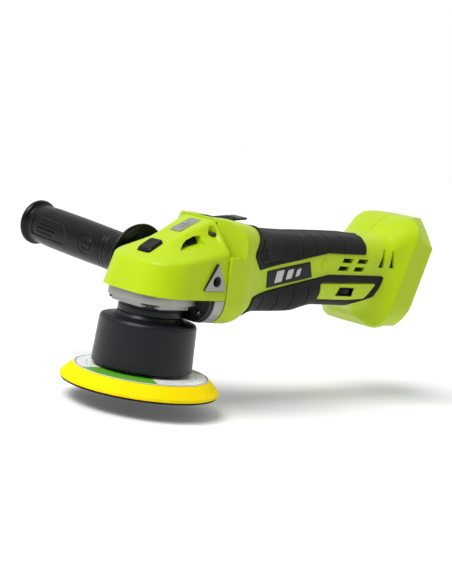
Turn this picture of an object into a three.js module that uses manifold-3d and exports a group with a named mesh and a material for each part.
// Cordless polisher with an orbital head, side handle and battery foot.
// Millimetres. Origin: spindle axis at the pad's hook face. +Z up the spindle,
// +X along the body to the battery foot, +Y towards the side handle.
import * as THREE from 'three';
import * as BufferGeometryUtils from 'three/addons/utils/BufferGeometryUtils.js';
import Module from 'manifold-3d';

const wasm = await Module();
wasm.setup();

// ---------------------------------------------------------------- driving sizes
const GAP = 0.3;                    // between pieces that touch
const PAD_R = 60.2;                 // backing pad, 120 mm across
const PAD_AT = [-2.4, -3.2];        // pad axis at rest, 4 mm off the spindle
const MOTOR_Z = 92;                 // rotor axis above the hook face
const SHROUD = { rBottom: 38.2, rTop: 36.8, zBottom: 15.3, zTop: 51, wall: 2.2 };
const NECK_R = 24.4;
const COVER_Z = 73;                 // lower edge of the head cover
const COVER_BACK = 37.6;
const FLANGE = { x0: 27.3, x1: 37.3, half: 39, r: 18 };
const HOUSING_X = 38.2;             // front face of the motor housing
const WALL = 2.6;                   // moulded wall of the housing
const SKIN = 1.5;                   // height of the rubber grips
const TEETH = { ring: 26, pinion: 8, pitchR: 7 };
const HANDLE = { x: 24.8, z: 87.6, tilt: 0.07, lean: 0.02, yBoss: 40.4 };
const LOCK = { x: -10.2, pinX: -14.5, half: 6.5, halfWidth: 7, travel: 3 };
const BADGE = { x: 22.8, deg: 25 };
const COVER_BOLTS = [[17.2, -20], [17.2, 20], [-20, 20], [-20, -20]];   // X, Y
const FLANGE_BOLTS = [[-26.5, 61], [26.5, 61]];                  // Y, Z
const COVER_SCREWS = [[32.5, -20], [32.5, 20]];                  // X, Y
const SLIDE = { x: 66, z: 130, deg: 6.2 };                     // slide switch, centre of its flat
const DIAL = { x: 189, y: -19.4, r: 11.2, z0: 79.2, z1: 84.4 };
const TRIANGLE = [[13.6, 80.4], [35.4, 80.4], [25.6, 100.4]];   // handle boss face, X and Z

// ---------------------------------------------------------------- colours
const COLOUR = {
  lime: [0xa9cf1f, 0.45, 0], rubber: [0x222220, 0.75, 0], charcoal: [0x2b2f34, 0.42, 0],
  black: [0x161616, 0.5, 0], yellow: [0xf7dc08, 0.6, 0], hook: [0x141414, 0.95, 0],
  cast: [0x9b9b94, 0.45, 0.8], steel: [0xb4b5b6, 0.3, 0.9], dark: [0x2c2b26, 0.5, 0.2],
  badge: [0xa6a8a2, 0.35, 0.6], label: [0xdfe4dc, 0.4, 0], copper: [0xb5693c, 0.35, 0.8],
  board: [0x1e6e3c, 0.5, 0], brass: [0xb99a4b, 0.35, 0.8],
};

// ---------------------------------------------------------------- mesh helpers
const group = new THREE.Group();

function solid(positions, index) {
  // closed mesh, turned the right way out by the sign of its volume
  let volume = 0;
  const a = new THREE.Vector3(), b = new THREE.Vector3(), c = new THREE.Vector3();
  for (let i = 0; i < index.length; i += 3) {
    a.fromArray(positions, 3 * index[i]);
    b.fromArray(positions, 3 * index[i + 1]);
    c.fromArray(positions, 3 * index[i + 2]);
    volume += a.dot(b.cross(c));
  }
  if (volume < 0) for (let i = 0; i < index.length; i += 3) {
    [index[i + 1], index[i + 2]] = [index[i + 2], index[i + 1]];
  }
  return new wasm.Manifold(new wasm.Mesh({
    numProp: 3, vertProperties: new Float32Array(positions), triVerts: new Uint32Array(index),
  }));
}

function loft(rings) {
  // rings of equal length joined by quads; the first and last are closed flat
  const n = rings[0].length, positions = [], index = [];
  rings.forEach((ring) => ring.forEach((p) => positions.push(...p)));
  for (let k = 0; k + 1 < rings.length; k++) for (let i = 0; i < n; i++) {
    const j = (i + 1) % n, p = k * n, q = p + n;
    index.push(p + i, p + j, q + j, p + i, q + j, q + i);
  }
  const flat = (ring) => {
    const size = [0, 1, 2].map((c) => Math.max(...ring.map((p) => p[c])) - Math.min(...ring.map((p) => p[c])));
    const drop = size.indexOf(Math.min(...size));
    const keep = [0, 1, 2].filter((c) => c !== drop);
    return ring.map((p) => new THREE.Vector2(p[keep[0]], p[keep[1]]));
  };
  const last = (rings.length - 1) * n;
  THREE.ShapeUtils.triangulateShape(flat(rings[0]), []).forEach(([a, b, c]) => {
    const turn = windingOf(flat(rings[0]), a, b, c) === windingOfRing(flat(rings[0]));
    index.push(...(turn ? [c, b, a] : [a, b, c]));
  });
  THREE.ShapeUtils.triangulateShape(flat(rings[rings.length - 1]), []).forEach(([a, b, c]) => {
    const turn = windingOf(flat(rings[rings.length - 1]), a, b, c) === windingOfRing(flat(rings[rings.length - 1]));
    index.push(...(turn ? [last + a, last + b, last + c] : [last + c, last + b, last + a]));
  });
  return solid(positions, index);
}

function windingOfRing(points) { return Math.sign(THREE.ShapeUtils.area(points)); }
function windingOf(points, a, b, c) {
  return Math.sign(THREE.ShapeUtils.area([points[a], points[b], points[c]]));
}

function revolve(profile, n, at = [0, 0], phase = 0) {
  // profile [r, z] closed by itself, or starting and ending on the axis
  const positions = [], index = [], first = [];
  profile.forEach(([r, z]) => {
    first.push(positions.length / 3);
    const count = r > 0 ? n : 1;
    for (let i = 0; i < count; i++) {
      const t = 2 * Math.PI * (i / n) + phase;
      positions.push(at[0] + r * Math.cos(t), at[1] + r * Math.sin(t), z);
    }
  });
  const onAxis = profile[0][0] === 0;
  const rows = onAxis ? profile.length - 1 : profile.length;
  for (let k = 0; k < rows; k++) {
    const l = (k + 1) % profile.length;
    const r0 = profile[k][0] > 0, r1 = profile[l][0] > 0;
    for (let i = 0; i < n; i++) {
      const j = (i + 1) % n;
      const p = first[k] + (r0 ? i : 0), q = first[k] + (r0 ? j : 0);
      const s = first[l] + (r1 ? i : 0), t = first[l] + (r1 ? j : 0);
      if (r0) index.push(p, q, t);
      if (r1) index.push(p, t, s);
    }
  }
  return solid(positions, index);
}

const toX = (m, x = 0, y = 0, z = 0) => m.rotate([0, 90, 0]).translate([x, y, z]);   // +Z to +X
const toY = (m, x = 0, y = 0, z = 0) => m.rotate([-90, 0, 0]).translate([x, y, z]);  // +Z to +Y
const rod = (r, z0, z1, n = 16, at) => revolve([[0, z0], [r, z0], [r, z1], [0, z1]], n, at);
const tube = (r0, r1, z0, z1, n = 24, at) => revolve([[r0, z0], [r1, z0], [r1, z1], [r0, z1]], n, at);

function roundedRect(hx, hy, r, steps = 6) {
  // counter-clockwise, 4 (steps + 1) points
  const points = [];
  [[1, 1, 0], [-1, 1, 90], [-1, -1, 180], [1, -1, 270]].forEach(([sx, sy, start]) => {
    for (let i = 0; i <= steps; i++) {
      const t = (start + 90 * i / steps) * Math.PI / 180;
      points.push([sx * (hx - r) + r * Math.cos(t), sy * (hy - r) + r * Math.sin(t)]);
    }
  });
  return points;
}

const prismZ = (outline, z0, z1) => loft([z0, z1].map((z) => outline.map(([x, y]) => [x, y, z])));
const prismY = (outline, y0, y1) => loft([y0, y1].map((y) => outline.map(([x, z]) => [x, y, z])));
const prismX = (outline, x0, x1) => loft([x0, x1].map((x) => outline.map(([y, z]) => [x, y, z])));
const box = (x0, x1, y0, y1, z0, z1) => prismZ([[x0, y0], [x1, y0], [x1, y1], [x0, y1]], z0, z1);

function add(name, manifold, [colour, roughness, metalness]) {
  const { vertProperties, triVerts } = manifold.getMesh();
  const geometry = new THREE.BufferGeometry();
  geometry.setAttribute('position', new THREE.BufferAttribute(new Float32Array(vertProperties), 3));
  geometry.setIndex(new THREE.BufferAttribute(new Uint32Array(triVerts), 1));
  const merged = BufferGeometryUtils.mergeVertices(geometry, 1e-4);
  merged.computeVertexNormals();
  const mesh = new THREE.Mesh(merged, new THREE.MeshStandardMaterial({ color: colour, roughness, metalness }));
  mesh.name = name;
  group.add(mesh);
}

// ---------------------------------------------------------------- pad and eccentric head
function pad() {
  const at = PAD_AT;
  add('hook_face', revolve([[0, 0], [PAD_R - 0.8, 0], [PAD_R - 0.8, 1.3], [0, 1.3]], 40, at), COLOUR.hook);
  add('pad_foam', revolve([[0, 1.6], [PAD_R - 0.6, 1.6], [PAD_R, 2.2], [PAD_R, 3.6], [PAD_R - 1, 4.8],
    [53, 11.2], [51.8, 11.9], [48.4, 11.9], [48.4, 8.4], [0, 8.4]], 40, at), COLOUR.yellow);
  add('pad_plate', rod(48, 8.7, 11.9, 40, at), COLOUR.black);
  add('pad_label', tube(13, 51.2, 12.2, 12.7, 40, at), COLOUR.label);
  const stud = revolve([[0, 12.2], [9.5, 12.2], [9.5, 15], [3.9, 15], [3.9, 28.6], [3.2, 29.2], [0, 29.2]], 12, at);
  add('pad_stud', stud, COLOUR.steel);
  add('pad_arbor', revolve([[4.2, 15.4], [8.6, 15.4], [8.6, 19], [6, 19.2], [6, 29.4], [4.2, 29.4]], 16, at),
    COLOUR.steel);
  add('pad_bearing', tube(6.3, 13, 19.4, 29.2, 20, at), COLOUR.steel);
}

function eccentric() {
  const cup = tube(13.3, 17, 18.8, 30.2, 24, PAD_AT);
  const web = rod(17, 29.8, 34, 24, PAD_AT).add(rod(20, 30.2, 34, 24));
  const boss = tube(7.4, 12, 33.6, 50, 20);
  add('eccentric_hub', cup.add(web).add(boss), COLOUR.cast);
  const outer = [], inner = [];
  for (let i = 0; i <= 14; i++) {
    const t = (-32 + 170 * i / 14) * Math.PI / 180;
    outer.push([33 * Math.cos(t), 33 * Math.sin(t)]);
    inner.push([12.8 * Math.cos(t), 12.8 * Math.sin(t)]);
  }
  add('counterweight', prismZ([...outer, ...inner.reverse()], 34.3, 44), COLOUR.steel);
}

function shroud() {
  const { rBottom: rb, rTop: rt, zBottom: z0, zTop: z1, wall: w } = SHROUD;
  add('shroud', revolve([[rb - w, z0], [rb - 0.6, z0], [rb, z0 + 0.8], [rt, z1 - 0.8], [rt - 0.8, z1 + 0.7],
    [rt - 2.4, z1 + 0.9], [27, z1 + 1.4], [25, z1 + 2.8], [24.6, z1 + 4.4], [22, z1 + 4.4],
    [22, z1 - 0.6], [rt - w, z1 - 1.6]], 40), COLOUR.charcoal);
  add('neck_collar', revolve([[20, 52.6], [21.7, 52.6], [21.7, 55.8], [NECK_R, 55.8], [NECK_R, 62.6],
    [20, 62.6]], 32), COLOUR.charcoal);
}

// ---------------------------------------------------------------- bevel gears and spindle
function gearBody(count, ringsAt) {
  // ringsAt(angle, isTip) gives the four corners of the section, joined round the axis
  const positions = [], index = [], n = count * 4;
  for (let tooth = 0; tooth < count; tooth++) {
    [[-0.34, false], [-0.16, true], [0.16, true], [0.34, false]].forEach(([f, tip]) => {
      const angle = 2 * Math.PI * (tooth + f) / count;
      ringsAt(angle, tip).forEach((p) => positions.push(...p));
    });
  }
  for (let i = 0; i < n; i++) for (let k = 0; k < 4; k++) {
    const j = (i + 1) % n, l = (k + 1) % 4;
    index.push(4 * i + k, 4 * j + k, 4 * j + l, 4 * i + k, 4 * j + l, 4 * i + l);
  }
  return solid(positions, index);
}

function gears() {
  const { ring, pinion, pitchR } = TEETH;
  const ringR = pitchR * ring / pinion, inner = 0.7;
  const high = 0.95, low = 1.35;                                // addendum and dedendum
  const crown = gearBody(ring, (t, tip) => {
    const z = (s) => MOTOR_Z - s * (pitchR - (tip ? high : -low));
    const at = (r, height) => [r * Math.cos(t), r * Math.sin(t), height];
    return [at(ringR, z(1)), at(ringR * inner, z(inner)), at(9, 80.4), at(ringR, 80.4)];
  });
  let gear = crown.add(rod(11.5, 74.5, 81.5, 20)).subtract(rod(6.4, 70, 90, 20));
  for (let i = 0; i < 4; i++) {                                  // notches that the lock pin drops into
    const [x, y] = [Math.cos(i * Math.PI / 2), Math.sin(i * Math.PI / 2)].map((v) => v * LOCK.pinX);
    gear = gear.subtract(rod(2.5, 85.5, 95, 12, [x, y]));
  }
  add('ring_gear', gear, COLOUR.steel);
  const small = gearBody(pinion, (t, tip) => {
    const angle = t + Math.PI / pinion;
    const at = (x, r) => [x, r * Math.sin(angle), MOTOR_Z - r * Math.cos(angle)];
    const r = pitchR + (tip ? high : -low);
    return [at(ringR, r), at(ringR * inner, r * inner), at(ringR * inner, 3.3), at(ringR, 3.3)];
  });
  add('pinion', small, COLOUR.steel);
}

function spindle() {
  add('spindle', revolve([[0, 36], [6.6, 36], [7.1, 36.6], [7.1, 50.2], [10.5, 50.4], [10.5, 56.6], [6, 57],
    [6, 83], [4, 83.2], [4, 91.8], [0, 91.8]], 16), COLOUR.steel);
  add('spindle_bearing_lower', tube(6.4, 16, 60.4, 70, 24), COLOUR.steel);
  add('spindle_bearing_upper', tube(4.4, 9, 85.8, 92, 20), COLOUR.steel);
}

// ---------------------------------------------------------------- gear case
function bearingCover() {
  let body = prismZ(roundedRect(26.2, 26.2, 13, 3), 62.9, 66.2)
    .add(prismZ(roundedRect(27.8, 27.8, 14.5, 3), 66, 72.4))
    .add(rod(19.5, 58, 63.2, 24));
  body = body.subtract(rod(16.4, 60.1, 80, 24)).subtract(rod(11.2, 50, 65, 16));
  body = body.subtract(box(FLANGE.x0 - 4, 40, -50, 50, 50, 80));
  COVER_BOLTS.forEach(([x, y]) => {
    const [sx, sy] = [Math.sign(x), Math.sign(y)];
    body = body.subtract(rod(2.2, 60, 80, 8, [x, y])).subtract(rod(4.2, 60, 66.2, 12, [x, y]));
    body = body.subtract(box(Math.min(x, sx * 40), Math.max(x, sx * 40),
      Math.min(y, sy * 40), Math.max(y, sy * 40), 60, 66.2));
  });
  add('bearing_cover', body, COLOUR.cast);
  COVER_BOLTS.forEach(([x, y], i) => {
    const head = revolve([[0, 63.4], [3.1, 63.4], [3.5, 63.9], [3.5, 65.9], [1.7, 65.9], [1.7, 79], [0, 79]],
      10, [x, y]);
    add(`bearing_cover_screw_${i + 1}`, head.subtract(rod(1.5, 63, 64.6, 6, [x, y])), COLOUR.dark);
  });
}

const triangle = (grow) => TRIANGLE.map(([x, z]) => {
  const [cx, cz] = [24.9, 87];
  const k = 1 + grow / Math.hypot(x - cx, z - cz);
  return [cx + (x - cx) * k, cz + (z - cz) * k];
});

const motorSquare = (inset) => roundedRect(FLANGE.half - inset, FLANGE.half - inset, FLANGE.r - inset)
  .map(([y, z]) => [y, z + MOTOR_Z]);

function gearCase() {
  const tower = revolve([[0, 77], [30, 77], [30, 83.5], [25.5, 92.3], [14, 94.9], [0, 94.9]], 28);
  const nose = toX(rod(23, 12, 30, 24), 0, 0, MOTOR_Z).intersect(box(0, 40, -40, 40, 78, 130));
  const flange = prismX(motorSquare(0), FLANGE.x0, FLANGE.x1);
  let body = prismZ(roundedRect(28.3, 28.3, 14.5, 3), 72.7, 79).add(tower).add(nose).add(flange);
  body = body.intersect(coverShell(2.8).add(box(-80, 80, -80, 80, 40, COVER_Z - 0.3)));
  body = body.add(prismY(triangle(0), -HANDLE.yBoss, -18)).add(prismY(triangle(0), 18, HANDLE.yBoss));
  // inside: gear chamber, bearing seats, pinion passage, screw and handle holes
  body = body.subtract(revolve([[0, 70], [26.6, 70], [26.6, 84.5], [22.5, 90.6], [12, 92.3], [0, 92.3]], 28));
  body = body.add(tube(9.3, 11.2, 86, 93, 20)).add(rod(5.8, 88.6, 94.9, 16, [LOCK.pinX, 0]));
  body = body.subtract(rod(9.3, 84, 92.3, 20)).subtract(toX(rod(10, 12.6, 30, 20), 0, 0, MOTOR_Z));
  body = body.subtract(toX(rod(13.4, 28, 45, 24), 0, 0, MOTOR_Z));
  body = body.subtract(rod(2.3, 80, 98, 10, [LOCK.pinX, 0])).subtract(rod(3.8, 90, 98, 14, [LOCK.pinX, 0]));
  COVER_BOLTS.forEach(([x, y]) => { body = body.subtract(rod(2.2, 70, 80, 8, [x, y])); });
  FLANGE_BOLTS.forEach(([y, z]) => { body = body.subtract(toX(rod(2.3, 20, 50, 8), 0, y, z)); });
  COVER_SCREWS.forEach(([x, y]) => {
    body = body.subtract(rod(1.9, 92, 130, 8, [x, y])).subtract(rod(3.5, 118.8, 140, 12, [x, y]));
  });
  body = body.subtract(toY(rod(4.1, -50, -24, 20), HANDLE.x, 0, HANDLE.z));
  body = body.subtract(handleAxis(rod(4.3, 24, 60, 16)));
  add('gear_case', body, COLOUR.cast);
  let plate = prismX(motorSquare(1.5), FLANGE.x0 - 3.7, FLANGE.x0 - GAP);
  plate = plate.subtract(box(20, 30, -60, 60, 72.3, 140)).subtract(rod(NECK_R + 1.4, 40, 80, 32));
  FLANGE_BOLTS.forEach(([y, z]) => { plate = plate.subtract(toX(rod(3.5, 20, 40, 12), 0, y, z)); });
  add('flange_plate', plate, COLOUR.dark);
  FLANGE_BOLTS.forEach(([y, z], i) => {
    const bolt = revolve([[0, 24.6], [3, 24.6], [3, 26.9], [1.9, 26.9], [1.9, 36.8], [0, 36.8]], 10)
      .subtract(rod(1.4, 24, 26, 6));
    add(`flange_screw_${i + 1}`, toX(bolt, 0, y, z), COLOUR.steel);
  });
}

function handleAxis(m) {
  // a part built along +Z is laid along the side handle's axis
  const tilt = Math.atan(HANDLE.tilt) * 180 / Math.PI;
  const lean = Math.atan(HANDLE.lean) * 180 / Math.PI;
  return m.rotate([-90 + tilt, 0, 0]).rotate([0, 0, lean])
    .translate([HANDLE.x + HANDLE.lean * HANDLE.yBoss, 0, HANDLE.z - HANDLE.tilt * HANDLE.yBoss]);
}

// ---------------------------------------------------------------- head cover
const COVER_PLAN = (front, half, radius, back) => {
  // open outline from the back on one side round the nose to the back on the other
  const points = [[back, -half], [back - 24, -half]];
  for (let i = 0; i <= 5; i++) {
    const t = (270 - 84 * i / 5) * Math.PI / 180;
    points.push([front + radius + radius * Math.cos(t), -half + radius + radius * Math.sin(t)]);
  }
  return [...points, ...points.map(([x, y]) => [x, -y]).reverse()];
};
const shoulderZ = (x) => 96.2 + Math.max(0, x + 28) ** 1.35 * 0.041;
const ridgeZ = (x) => Math.min(101.4 + (x + 17) * 0.66, 110.6 + (x + 3) * 0.53, 119.6 + (x - 13) * 0.47,
  130.2 + (x - 35.5) * 0.16);

function coverShell(t) {
  // t is the inset of every wall
  const bottom = COVER_PLAN(-32.8 + t, 39.2 - t, 28, COVER_BACK).map(([x, y]) => [x, y, COVER_Z - (t ? 1 : 0)]);
  const shoulder = COVER_PLAN(-27 + t, 37.2 - t, 27, COVER_BACK).map(([x, y]) => [x, y, shoulderZ(x) - t]);
  const edge = COVER_PLAN(-24.6 + t, 34.5 - t, 26, COVER_BACK).map(([x, y]) => [x, y, shoulderZ(x) + 1.5 - t]);
  const half = 10.5 - t * 0.5, n = edge.length / 2;
  const ridge = [];
  for (let i = 0; i < n; i++) {
    const x = [COVER_BACK, 24, 13, 5, -3, -10, -15, -17][i] + (i ? t * 0.6 : 0);
    ridge.push([x, -half - Math.max(0, x - 5) * 0.16, ridgeZ(x) - t]);
  }
  return loft([bottom, shoulder, edge, [...ridge, ...ridge.map(([x, y, z]) => [x, -y, z]).reverse()]]);
}

function onSlope(m, { x, deg }, z = ridgeZ(x)) {
  return m.rotate([0, -deg, 0]).translate([x, 0, z]);
}

function headCover() {
  let body = coverShell(0).subtract(coverShell(2.4));
  body = body.subtract(box(-80, 80, -80, 80, 60, COVER_Z));
  body = body.subtract(prismY(triangle(0.8), -60, -30)).subtract(prismY(triangle(0.8), 30, 60));
  const window = (y) => [[-1.7, y, 107.4], [8.6, y, 110.8], [18.8, y, 114.8], [17, y, 117.6], [10, y, 114.1]];
  body = body.subtract(loft([window(-34), window(-13)])).subtract(loft([window(13), window(34)]));
  COVER_SCREWS.forEach(([x, y]) => {
    body = body.subtract(rod(3.3, 119.4, 140, 14, [x, y])).subtract(rod(1.9, 90, 140, 12, [x, y]));
  });
  const opening = roundedRect(LOCK.half + 0.4, LOCK.halfWidth + 0.4, 2.4, 3).map(([x, y]) => [x + LOCK.x, y]);
  body = body.subtract(prismZ(opening, 90, 130));
  body = body.subtract(onSlope(box(-11.6, 11.6, -6, 6, -0.9, 5), BADGE));
  add('head_cover', body, COLOUR.lime);
  add('badge_plate', onSlope(box(-11.2, 11.2, -5.6, 5.6, -0.6, 0.5), BADGE), COLOUR.badge);
  COVER_SCREWS.forEach(([x, y], i) => {
    const screw = revolve([[0, 119.8], [2.9, 119.8], [2.9, 121.8], [1.2, 122], [0, 122]], 10, [x, y]);
    add(`cover_screw_${i + 1}`, screw.add(rod(1.5, 104, 120, 8, [x, y])), COLOUR.dark);
  });
}

function lockButton() {
  const plan = (inset) => roundedRect(LOCK.half - inset, LOCK.halfWidth - inset, 2.2, 3)
    .map(([x, y]) => [x + LOCK.x, y]);
  const top = (inset, up) => plan(inset).map(([x, y]) => [x, y, ridgeZ(x) + up]);
  add('lock_button', loft([top(0, -3.1), top(0, 1.7), top(1, 2.5)]), COLOUR.black);
  add('lock_pin', rod(2, 88.9, 98.2, 12, [LOCK.pinX, 0]), COLOUR.steel);
  const turns = 3.5, steps = 8, wire = 0.4, rings = [];
  for (let i = 0; i <= turns * steps; i++) {
    const t = 2 * Math.PI * i / steps, z = 90.9 + 6.5 * i / (turns * steps);
    rings.push([0, 1, 2, 3].map((k) => {
      const u = Math.PI * k / 2, r = 3 + wire * Math.cos(u);
      return [LOCK.pinX + r * Math.cos(t), r * Math.sin(t), z + wire * Math.sin(u)];
    }));
  }
  add('lock_spring', loft(rings), COLOUR.steel);
}

// ---------------------------------------------------------------- side handle
function sideHandle() {
  const grip = revolve([[4.3, 41.2], [9, 41.2], [9.4, 50], [19, 50.6], [27, 47.4], [28.4, 48], [28.6, 49.4],
    [24, 53.6], [16.6, 56], [15.6, 60], [16.5, 120], [16.6, 150], [15.4, 163], [15.8, 166.6],
    [18.2, 168.4], [18.6, 171], [17, 173.4], [0, 174.6], [0, 80], [4.3, 80]], 28);
  add('side_handle_grip', handleAxis(grip), COLOUR.black);
  add('side_handle_stud', handleAxis(rod(4, 25.5, 79.6, 12)), COLOUR.steel);
}

// ---------------------------------------------------------------- motor
function motor() {
  const along = (m) => toX(m, 0, 0, MOTOR_Z);
  add('rotor_shaft', along(revolve([[0, 13.6], [3, 13.6], [3, 24], [4, 24.2], [4, 116.6], [0, 116.6]], 12)),
    COLOUR.steel);
  add('rotor_bearing_front', along(tube(4.4, 13, 28.3, 36, 24)), COLOUR.steel);
  add('rotor_bearing_rear', along(tube(4.4, 9.5, 110, 116, 20)), COLOUR.steel);
  let fan = tube(4.4, 7.5, 43, 52, 16).add(tube(6, 23, 50.4, 52, 28));
  for (let i = 0; i < 8; i++) fan = fan.add(box(7, 22.4, -0.7, 0.7, 43.4, 50.8).rotate([0, 0, 45 * i]));
  add('fan', along(fan), COLOUR.black);
  let core = tube(4.4, 15, 60, 96, 25);
  for (let i = 0; i < 5; i++) core = core.subtract(box(9, 20, -1.2, 1.2, 50, 110).rotate([0, 0, 72 * i + 20]));
  add('rotor_core', along(core), COLOUR.copper);
  add('commutator', along(tube(4.4, 8, 98, 105, 20)), COLOUR.brass);
  add('stator', along(tube(15.8, 23.4, 58, 98, 28)), COLOUR.dark);
  const cap = revolve([[9.8, 107], [23.4, 107], [23.4, 110], [12.6, 111], [12.6, 117.6], [6, 117.6], [6, 116.3],
    [9.8, 116.3]], 24);
  add('motor_end_cap', along(cap), COLOUR.black);
}

// ---------------------------------------------------------------- motor housing with grip and foot
// station: x at z 97, lean towards +X per mm of height, top, bottom, half width, corner radius, and how far the
// upper corners are cut straight (the lower ones half as much)
const STATIONS = [
  [HOUSING_X, 0, 131.8, 53, 39.6, 18, 0], [52, 0, 131.8, 52.6, 39.8, 18, 0], [60, 0, 131, 54, 39, 18, 0],
  [70, 0, 129.6, 58.6, 36, 18, 0], [80, 0, 127.6, 61.4, 33, 17, 0], [92, 0, 125, 62.8, 31, 17, 0],
  [110, 0, 122.9, 62.8, 30, 17, 0], [134, 0, 122.7, 63.4, 29.6, 17, 0], [148, 0, 123, 66.4, 29.4, 17, 0],
  [163, 0, 123.6, 69, 29.3, 17, 0], [200, 0, 124.8, 68.8, 29.4, 17, 0], [214, 0.06, 125.2, 66.4, 29.5, 18, 0],
  [228, 0.18, 126.8, 62.6, 29.8, 19, 0], [235, 0.26, 130, 59.8, 30.6, 20, 0], [239.5, 0.3, 136, 57.8, 31.8, 20, 0],
  [244, 0.325, 140.8, 56, 33.6, 18.5, 0], [249, 0.325, 144, 54, 35.6, 17, 0],
  [254, 0.325, 145.8, 52.2, 37, 16, 0.1], [256, 0.325, 146.4, 51.2, 37.6, 16.5, 0.5],
  [266, 0.325, 147, 48.6, 38.6, 20, 0.92], [277, 0.325, 146.8, 47, 39.2, 23, 0.92],
  [280, 0.325, 145, 48.4, 37.8, 22, 0.92],
];

function bodyLoft(grow, from = -1e3, to = 1e3) {
  const rings = STATIONS.filter(([x]) => x >= from && x <= to)
    .map(([x0, lean, top, bottom, half, radius, flat]) => {
      const mid = (top + bottom) / 2, tall = (top - bottom) / 2, round = radius + grow;
      return roundedRect(half + grow, tall + grow, round, 4).map(([y, z]) => {
        // each corner has five points; the arc is drawn towards the chord between its ends
        const cy = Math.sign(y) * (half - radius), cz = Math.sign(z) * (tall - radius);
        const reach = Math.abs(y - cy) + Math.abs(z - cz);
        const cut = reach > 0 ? 1 + (round / reach - 1) * flat * (z > 0 ? 1 : 0.5) : 1;
        return [cy + (y - cy) * cut, cz + (z - cz) * cut];
      }).map(([y, z]) => [x0 + lean * (z + mid - 97), y, z + mid]);
    });
  return loft(rings);
}

const leaning = (x0, x1, y0, y1, z0, z1) => loft([z0, z1].map((z) => [[x0, y0], [x1, y0], [x1, y1], [x0, y1]]
  .map(([x, y]) => [x + 0.325 * (z - 97), y, z])));

const cheek = (grow) => {
  // the bevelled upper corners at the front of the housing
  const cut = (s) => prismZ([[30, s * (21.4 - 10.5 - grow)], [HOUSING_X, s * (21.4 - grow)],
    [58, s * (21.4 + 24.8 - grow)], [58, s * 70], [30, s * 70]], 105.6 - grow * 0.8, 150);
  return cut(1).add(cut(-1));
};

const VENTS = [[187, 107.4], [206.5, 107.4], [183, 100.7], [203, 100.7]];
const SLOTS = [[[227.5, 103], [234.5, 103], [236.4, 119], [235, 119]], [[241, 103.4], [246.6, 103.4],
  [244.2, 118], [243, 118]]];
const NAME_PLATE = [[88, 96], [90, 82.6], [144, 92.4], [139, 105]];
const UPPER_GRIP = [[87, 138], [85, 126.5], [73.5, 121.9], [65.2, 111.4], [65.5, 107.3], [76.5, 97],
  [80, 97.2], [162, 112.4], [209, 113], [212.5, 119], [214, 124],
  [217, 127.5], [223, 130], [226, 138]];
const LOWER_GRIP = [[62, 45], [71, 64.8], [70.2, 75.7], [85.3, 79.5], [166, 95.3], [236, 96.2], [232, 86.5],
  [226, 78.2], [207, 71.5], [196, 60], [190, 45]];
const PANEL = [[155.5, 87.8], [157.5, 75], [196, 75], [215, 76.4], [227, 89.6]];
const WINDOW = [[179.6, 85.4], [177.8, 77.9], [197, 77.9], [198.8, 85.4]];
const grown = (outline, d) => {
  const [cx, cz] = [0, 1].map((k) => outline.reduce((sum, p) => sum + p[k], 0) / outline.length);
  return outline.map(([x, z]) => [x + Math.sign(x - cx) * d, z + Math.sign(z - cz) * d]);
};

function housing() {
  const inner = bodyLoft(-WALL, -1e3, 256).add(bodyLoft(-WALL, 0, 60).translate([-3, 0, 0]));
  let body = bodyLoft(0).subtract(cheek(0)).subtract(inner.subtract(cheek(3.4)));
  // battery rails in the foot
  body = body.subtract(leaning(264, 300, -29, 29, 20, 127)).subtract(leaning(268.5, 273, -32.5, 32.5, 66, 127));
  VENTS.forEach(([x, z]) => {
    const slot = [[x - 6.4, z - 1.8], [x + 4.4, z - 1.8], [x + 6.4, z + 1.8], [x - 4.4, z + 1.8]];
    body = body.subtract(prismY(slot, -50, 50));
  });
  SLOTS.forEach((slot) => { body = body.subtract(prismY(slot, -60, 60)); });
  body = body.subtract(prismY(grown(WINDOW, -0.4), -60, -20));
  body = body.subtract(rod(DIAL.r + 0.5, DIAL.z0 - 0.5, DIAL.z1 + 0.5, 24, [DIAL.x, DIAL.y]));
  body = body.subtract(onSlope(box(-23.5, 16.8, -8.5, 8.5, 0, 20), SLIDE, SLIDE.z));
  body = body.subtract(onSlope(box(-4, 9, -3, 3, -8, 3), SLIDE, SLIDE.z));
  const half = (side) => body.intersect(box(0, 400, side > 0 ? GAP / 2 : -80, side > 0 ? 80 : -GAP / 2, 0, 200));
  add('motor_housing_left', half(1), COLOUR.lime);
  add('motor_housing_right', half(-1), COLOUR.lime);
}

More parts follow.
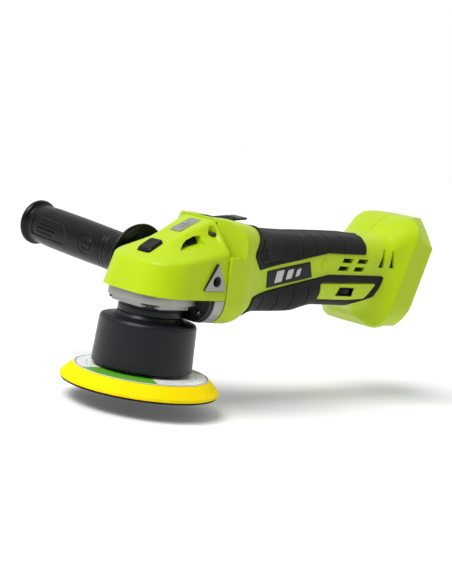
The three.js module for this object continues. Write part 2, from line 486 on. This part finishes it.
function gripSkins() {
  const shell = bodyLoft(SKIN).subtract(bodyLoft(0.3));
  const sideBox = (side) => box(0, 400, side > 0 ? GAP / 2 : -80, side > 0 ? 80 : -GAP / 2, 0, 200);
  const trim = (outline, side) => shell.intersect(prismY(outline, -80, 80)).intersect(sideBox(side));
  [['left', 1], ['right', -1]].forEach(([name, side]) => {
    add(`grip_upper_${name}`, trim(UPPER_GRIP, side), COLOUR.rubber);
    let lower = trim(LOWER_GRIP, side);
    if (side < 0) lower = lower.subtract(prismY(grown(PANEL, 0.5), -80, -8));
    add(`grip_lower_${name}`, lower, COLOUR.rubber);
    const plate = bodyLoft(1).subtract(bodyLoft(0.3)).intersect(prismY(NAME_PLATE, -80, 80));
    add(`name_plate_${name}`, plate.intersect(sideBox(side)), COLOUR.black);
  });
  const panel = bodyLoft(SKIN + 0.2).subtract(bodyLoft(0.3)).intersect(prismY(PANEL, -80, -8));
  add('speed_panel', panel.subtract(prismY(WINDOW, -80, -8)), COLOUR.lime);
}

function controls() {
  const dial = revolve([[2.2, DIAL.z0], [DIAL.r - 0.6, DIAL.z0], [DIAL.r, DIAL.z0 + 0.8], [DIAL.r, DIAL.z1 - 0.8],
    [DIAL.r - 0.6, DIAL.z1], [2.2, DIAL.z1]], 24, [DIAL.x, DIAL.y]);
  add('speed_dial', dial, COLOUR.black);
  const slider = box(-16.2, 16.2, -8, 8, 0.4, 2.4).add(box(4.2, 8.2, -2, 2, -10.8, 1));
  add('slide_switch', onSlope(slider, SLIDE, SLIDE.z), COLOUR.black);
  add('switch_rod', box(74.6, 128, -2, 2, 116.4, 118.8), COLOUR.steel);
  add('power_switch', box(128.6, 150, -9, 9, 104, 119.6), COLOUR.black);
  add('control_board', box(170, 226, -17, 17, 90, 91.6), COLOUR.board);
  add('terminal_block', leaning(264.3, 274, -13, 13, 93, 120), COLOUR.black);
  [-7, 7].forEach((y, i) => {
    add(`battery_contact_${i + 1}`, leaning(266, 272.5, y - 0.5, y + 0.5, 80, 92.7), COLOUR.brass);
  });
}

pad();
eccentric();
shroud();
gears();
spindle();
bearingCover();
gearCase();
headCover();
lockButton();
sideHandle();
motor();
housing();
gripSkins();
controls();

export default group;
